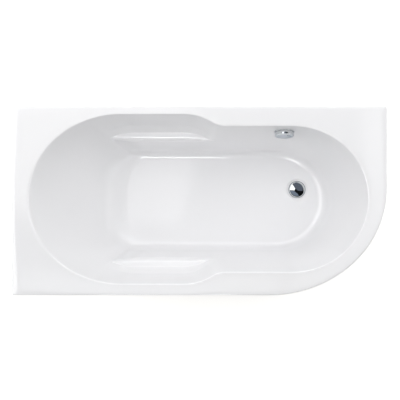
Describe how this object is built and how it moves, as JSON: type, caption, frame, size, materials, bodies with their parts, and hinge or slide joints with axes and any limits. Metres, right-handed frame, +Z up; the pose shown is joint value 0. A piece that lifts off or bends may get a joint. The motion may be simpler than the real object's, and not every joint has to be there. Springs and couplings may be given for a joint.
{
  "type": "shower bath",
  "caption": "White acrylic p shaped shower bath with a rounded front corner, moulded armrests, pop-up waste, overflow knob, trap and adjustable feet.",
  "frame": {"origin": "centre of the bounding box in plan, on the floor that the feet stand on", "axes": "+X along the bath to its drain end, +Y across it to the wall, +Z up"},
  "size_m": [1.5, 0.757, 0.58],
  "materials": {
    "acrylic": "polished white sanitary acrylic",
    "glassfibre": "sprayed chopped glass fibre in polyester resin",
    "chipboard": "raw chipboard and plywood",
    "zinc_steel": "zinc plated steel",
    "black_plastic": "moulded polypropylene",
    "chrome": "polished chrome plate",
    "rubber": "smooth black rubber",
    "white_plastic": "moulded white polypropylene"
  },
  "bodies": {
    "tub": {"acrylic_shell": "acrylic", "glassfibre_backing": "glassfibre", "baseboard": "chipboard", "rim_batten_wall": "chipboard", "rim_batten_head": "chipboard", "rim_batten_front": "chipboard", "rim_batten_corner": "chipboard", "rim_batten_drain": "chipboard", "leg_rail_head": "zinc_steel", "leg_rail_drain": "zinc_steel", "centre_foot_bracket": "zinc_steel", "rail_screws": "zinc_steel", "leg_nuts_1": "zinc_steel", "leg_nuts_2": "zinc_steel", "leg_nuts_3": "zinc_steel", "leg_nuts_4": "zinc_steel", "leg_nuts_5": "zinc_steel", "wall_bracket_1": "zinc_steel", "wall_bracket_2": "zinc_steel", "wall_bracket_3": "zinc_steel", "wall_bracket_4": "zinc_steel", "bracket_screws": "zinc_steel", "waste_flange": "chrome", "flange_gasket": "rubber", "waste_body_seal": "rubber", "waste_body": "black_plastic", "lever_pin": "zinc_steel", "bowden_cable": "black_plastic", "overflow_hose": "white_plastic", "hose_clip_overflow": "zinc_steel", "hose_clip_waste": "zinc_steel", "overflow_body": "black_plastic", "overflow_seal": "rubber", "overflow_plate": "chrome", "overflow_screws": "zinc_steel", "trap_nut": "white_plastic", "trap_seal": "rubber", "trap_body": "white_plastic", "trap_cleaning_cap": "white_plastic", "outlet_nut": "white_plastic", "outlet_pipe": "white_plastic"},
    "knob": {"overflow_knob": "chrome", "overflow_spindle": "zinc_steel"},
    "plug": {"waste_plug": "chrome", "plug_seal": "rubber", "plug_stem": "zinc_steel"},
    "lever": {"lift_lever": "zinc_steel"},
    "foot_1": {"foot_pad_1": "black_plastic", "leg_rod_1": "zinc_steel"},
    "foot_2": {"foot_pad_2": "black_plastic", "leg_rod_2": "zinc_steel"},
    "foot_3": {"foot_pad_3": "black_plastic", "leg_rod_3": "zinc_steel"},
    "foot_4": {"foot_pad_4": "black_plastic", "leg_rod_4": "zinc_steel"},
    "foot_5": {"foot_pad_5": "black_plastic", "leg_rod_5": "zinc_steel"}
  },
  "joints": [
    {"name": "knob_turn", "type": "hinge", "parent": "tub", "child": "knob", "pos_m": [0.345, 0.2806, 0.498], "axis": [0, 0.9757, -0.2192], "range_deg": [0, 90]},
    {"name": "plug_lift", "type": "slide", "parent": "tub", "child": "plug", "axis": [0, 0, 1], "range_m": [0, 0.01]},
    {"name": "lever_tilt", "type": "hinge", "parent": "tub", "child": "lever", "pos_m": [0.407, 0.048, 0.12], "axis": [0, -1, 0], "range_deg": [0, 37]},
    {"name": "foot_1_height", "type": "slide", "parent": "tub", "child": "foot_1", "axis": [0, 0, 1], "range_m": [-0.02, 0.015]},
    {"name": "foot_2_height", "type": "slide", "parent": "tub", "child": "foot_2", "axis": [0, 0, 1], "range_m": [-0.02, 0.015]},
    {"name": "foot_3_height", "type": "slide", "parent": "tub", "child": "foot_3", "axis": [0, 0, 1], "range_m": [-0.02, 0.015]},
    {"name": "foot_4_height", "type": "slide", "parent": "tub", "child": "foot_4", "axis": [0, 0, 1], "range_m": [-0.02, 0.015]},
    {"name": "foot_5_height", "type": "slide", "parent": "tub", "child": "foot_5", "axis": [0, 0, 1], "range_m": [-0.02, 0.015]}
  ],
  "couplings": [
    {"joint": "plug_lift", "follows": "knob_turn", "m_per_rad": 0.00636},
    {"joint": "lever_tilt", "follows": "knob_turn", "ratio": 0.4095}
  ]
}
